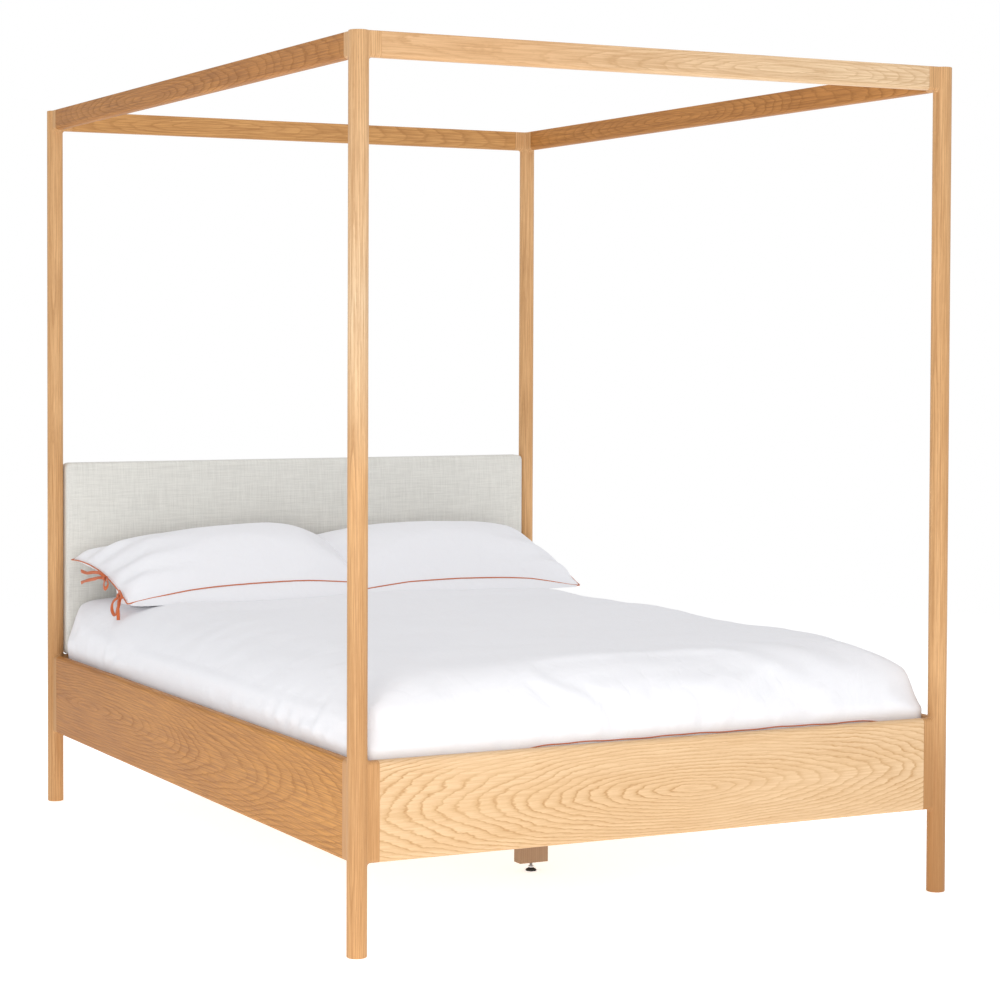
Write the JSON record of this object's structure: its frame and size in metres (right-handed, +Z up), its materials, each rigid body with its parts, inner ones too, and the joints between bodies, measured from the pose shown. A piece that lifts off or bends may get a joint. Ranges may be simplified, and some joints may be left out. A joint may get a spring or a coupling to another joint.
{
  "type": "four poster canopy bed",
  "caption": "Oak bed with round corner posts joined by an open canopy frame, deep rails, a padded linen headboard, slats, mattress, duvet and pillows.",
  "frame": {"origin": "on the floor under the centre of the bed", "axes": "+Y towards the headboard, +X to the right of somebody looking from the foot to the head, +Z up"},
  "size_m": [1.597, 2.144, 2],
  "materials": {
    "oak": "clear matt oil over natural oak",
    "pine": "planed softwood, unfinished",
    "board": "plywood",
    "linen": "plain woven linen with slubs",
    "ticking": "quilted mattress ticking",
    "white_cotton": "smooth cotton percale",
    "coral_piping": "cotton covered piping cord and ties",
    "zinc_steel": "bright zinc plated",
    "brass_insert": "plain brass",
    "beech_dowel": "fluted beech, unfinished",
    "black_plastic": "moulded nylon"
  },
  "bodies": {
    "root": {"post_front_left": "oak", "post_front_right": "oak", "post_rear_left": "oak", "post_rear_right": "oak", "canopy_rail_foot": "oak", "canopy_rail_head": "oak", "canopy_rail_left": "oak", "canopy_rail_right": "oak", "foot_rail": "oak", "head_rail": "oak", "side_rail_left": "oak", "side_rail_right": "oak", "headboard_core": "board", "headboard_padding": "linen", "side_ledger_left": "pine", "side_ledger_right": "pine", "slat_01": "pine", "slat_02": "pine", "slat_03": "pine", "slat_04": "pine", "slat_05": "pine", "slat_06": "pine", "slat_07": "pine", "slat_08": "pine", "slat_09": "pine", "slat_10": "pine", "slat_11": "pine", "slat_12": "pine", "slat_13": "pine", "centre_beam": "pine", "beam_hanger_foot": "zinc_steel", "centre_leg_foot": "pine", "leg_insert_foot": "brass_insert", "beam_hanger_head": "zinc_steel", "centre_leg_head": "pine", "leg_insert_head": "brass_insert", "rail_hanger_bolts": "zinc_steel", "rail_half_moon_washers": "zinc_steel", "rail_nuts": "zinc_steel", "canopy_cam_pins": "zinc_steel", "canopy_cams": "zinc_steel", "slat_screws": "zinc_steel", "ledger_screws": "zinc_steel", "hanger_screws": "zinc_steel", "leg_bolts": "zinc_steel", "leg_nuts": "zinc_steel", "rail_dowels": "beech_dowel", "canopy_dowels": "beech_dowel"},
    "mattress": {"mattress": "ticking"},
    "duvet": {"duvet": "white_cotton", "duvet_piping": "coral_piping"},
    "pillow_left": {"pillow_left": "white_cotton", "pillow_left_piping": "coral_piping"},
    "pillow_right": {"pillow_right": "white_cotton", "pillow_right_piping": "coral_piping"},
    "glide_pad_foot": {"glide_pad_foot": "black_plastic"},
    "glide_stud_foot": {"glide_stud_foot": "zinc_steel"},
    "glide_pad_head": {"glide_pad_head": "black_plastic"},
    "glide_stud_head": {"glide_stud_head": "zinc_steel"}
  },
  "joints": [
    {"name": "mattress_lift", "type": "slide", "parent": "root", "child": "mattress", "axis": [0, 0, 1], "range_m": [0, 0.2]},
    {"name": "duvet_lift", "type": "slide", "parent": "mattress", "child": "duvet", "axis": [0, 0, 1], "range_m": [0, 0.25]},
    {"name": "pillow_left_lift", "type": "slide", "parent": "pillow_right", "child": "pillow_left", "axis": [0, 0, 1], "range_m": [0, 0.25]},
    {"name": "pillow_right_lift", "type": "slide", "parent": "duvet", "child": "pillow_right", "axis": [0, 0, 1], "range_m": [0, 0.25]},
    {"name": "glide_rise_foot", "type": "slide", "parent": "root", "child": "glide_pad_foot", "axis": [0, 0, 1], "range_m": [-0.0087, 0.0087]},
    {"name": "glide_turn_foot", "type": "hinge", "parent": "glide_pad_foot", "child": "glide_stud_foot", "pos_m": [0, -0.415, 0.03], "axis": [0, 0, 1], "range_deg": [-2520, 2520]},
    {"name": "glide_rise_head", "type": "slide", "parent": "root", "child": "glide_pad_head", "axis": [0, 0, 1], "range_m": [-0.0087, 0.0087]},
    {"name": "glide_turn_head", "type": "hinge", "parent": "glide_pad_head", "child": "glide_stud_head", "pos_m": [0, 0.415, 0.03], "axis": [0, 0, 1], "range_deg": [-2520, 2520]}
  ],
  "couplings": [
    {"joint": "glide_turn_foot", "follows": "glide_rise_foot", "rad_per_m": 5026.5},
    {"joint": "glide_turn_head", "follows": "glide_rise_head", "rad_per_m": 5026.5}
  ]
}
